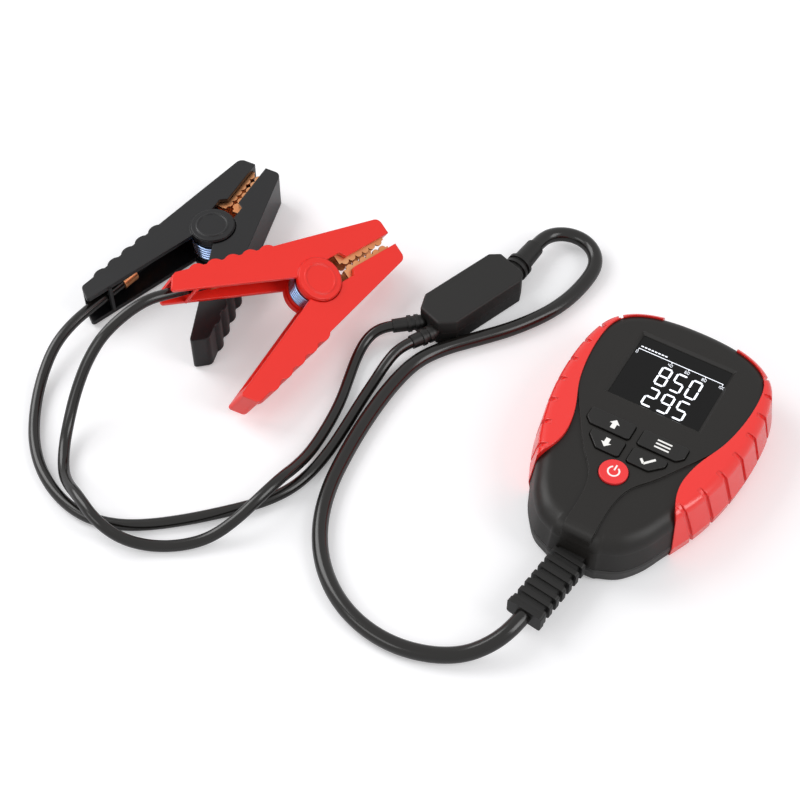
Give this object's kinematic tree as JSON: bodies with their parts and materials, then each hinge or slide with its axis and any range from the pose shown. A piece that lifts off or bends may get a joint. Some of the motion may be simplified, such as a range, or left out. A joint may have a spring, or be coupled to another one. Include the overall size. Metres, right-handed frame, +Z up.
{
  "type": "battery tester",
  "caption": "Hand-held battery tester with side grips, display and press keys, its cable splitting into two leads that end in a red and a black clamp.",
  "frame": {"origin": "on the table under the middle of the case", "axes": "+X to the case's right, +Y to the display end, +Z up out of the case's face"},
  "size_m": [0.2651, 0.2242, 0.0445],
  "materials": {
    "case_front": "satin moulded black ABS",
    "case_rear": "matte moulded black ABS",
    "grip_rubber": "glossy red moulded rubber",
    "steel": "nickel-plated steel",
    "display_glass": "black tinted display window",
    "lcd": "display panel",
    "white_plastic": "white moulded plastic",
    "key_plastic": "satin black key caps",
    "power_key": "satin red key cap",
    "circuit_board": "green circuit board",
    "black_moulding": "black component moulding",
    "ceramic": "white ceramic body",
    "terminal_plastic": "green terminal block",
    "cable_rubber": "matte black moulded rubber",
    "splitter_plastic": "matte black moulding",
    "copper": "copper plate",
    "cable_jacket": "glossy black cable jacket",
    "red_clamp": "satin red moulded clamp",
    "black_clamp": "satin black moulded clamp",
    "spring_steel": "zinc-plated spring wire"
  },
  "bodies": {
    "case": {"black_contact_a": "copper", "black_lead": "cable_jacket", "black_lead_boot": "cable_rubber", "black_lever_a": "black_clamp", "black_pin": "steel", "black_spring": "spring_steel", "buzzer": "black_moulding", "cable_terminal": "terminal_plastic", "case_screws": "steel", "display_lens": "display_glass", "front_cover": "case_front", "lcd_holder": "white_plastic", "lcd_panel": "lcd", "left_grip": "grip_rubber", "load_resistor": "ceramic", "main_board": "circuit_board", "main_boot": "cable_rubber", "main_cable": "cable_jacket", "microcontroller": "black_moulding", "rear_cover": "case_rear", "red_contact_a": "copper", "red_lead": "cable_jacket", "red_lead_boot": "cable_rubber", "red_lever_a": "red_clamp", "red_pin": "steel", "red_spring": "spring_steel", "right_grip": "grip_rubber", "splice_joints": "copper", "splitter_bottom": "splitter_plastic", "splitter_top": "splitter_plastic", "strain_relief": "cable_rubber", "tact_switches": "black_moulding"},
    "black_jaw": {"black_lever_b": "black_clamp", "black_contact_b": "copper"},
    "red_jaw": {"red_lever_b": "red_clamp", "red_contact_b": "copper"},
    "key_up_cap": {"key_up": "key_plastic"},
    "key_down_cap": {"key_down": "key_plastic"},
    "key_upper_right_cap": {"key_upper_right": "key_plastic"},
    "key_lower_right_cap": {"key_lower_right": "key_plastic"},
    "key_power_cap": {"key_power": "power_key"}
  },
  "joints": [
    {"name": "key_up_press", "type": "slide", "parent": "case", "child": "key_up_cap", "axis": [0, 0, -1], "range_m": [0, 0.0006], "stiffness_N_per_m": 600},
    {"name": "key_down_press", "type": "slide", "parent": "case", "child": "key_down_cap", "axis": [0, 0, -1], "range_m": [0, 0.0006], "stiffness_N_per_m": 600},
    {"name": "key_upper_right_press", "type": "slide", "parent": "case", "child": "key_upper_right_cap", "axis": [0, 0, -1], "range_m": [0, 0.0006], "stiffness_N_per_m": 600},
    {"name": "key_lower_right_press", "type": "slide", "parent": "case", "child": "key_lower_right_cap", "axis": [0, 0, -1], "range_m": [0, 0.0006], "stiffness_N_per_m": 600},
    {"name": "key_power_press", "type": "slide", "parent": "case", "child": "key_power_cap", "axis": [0, 0, -1], "range_m": [0, 0.0006], "stiffness_N_per_m": 600},
    {"name": "black_clamp_hinge", "type": "hinge", "parent": "case", "child": "black_jaw", "pos_m": [-0.1984, 0.0079, 0.0089], "axis": [0, 0, -1], "range_deg": [0, 35], "stiffness_Nm_per_rad": 0.8, "deforming": ["black_spring"]},
    {"name": "red_clamp_hinge", "type": "hinge", "parent": "case", "child": "red_jaw", "pos_m": [-0.1454, 0.0008, 0.0169], "axis": [-0.499, 0.0323, -0.866], "range_deg": [0, 35], "stiffness_Nm_per_rad": 0.8, "deforming": ["red_spring"]}
  ]
}
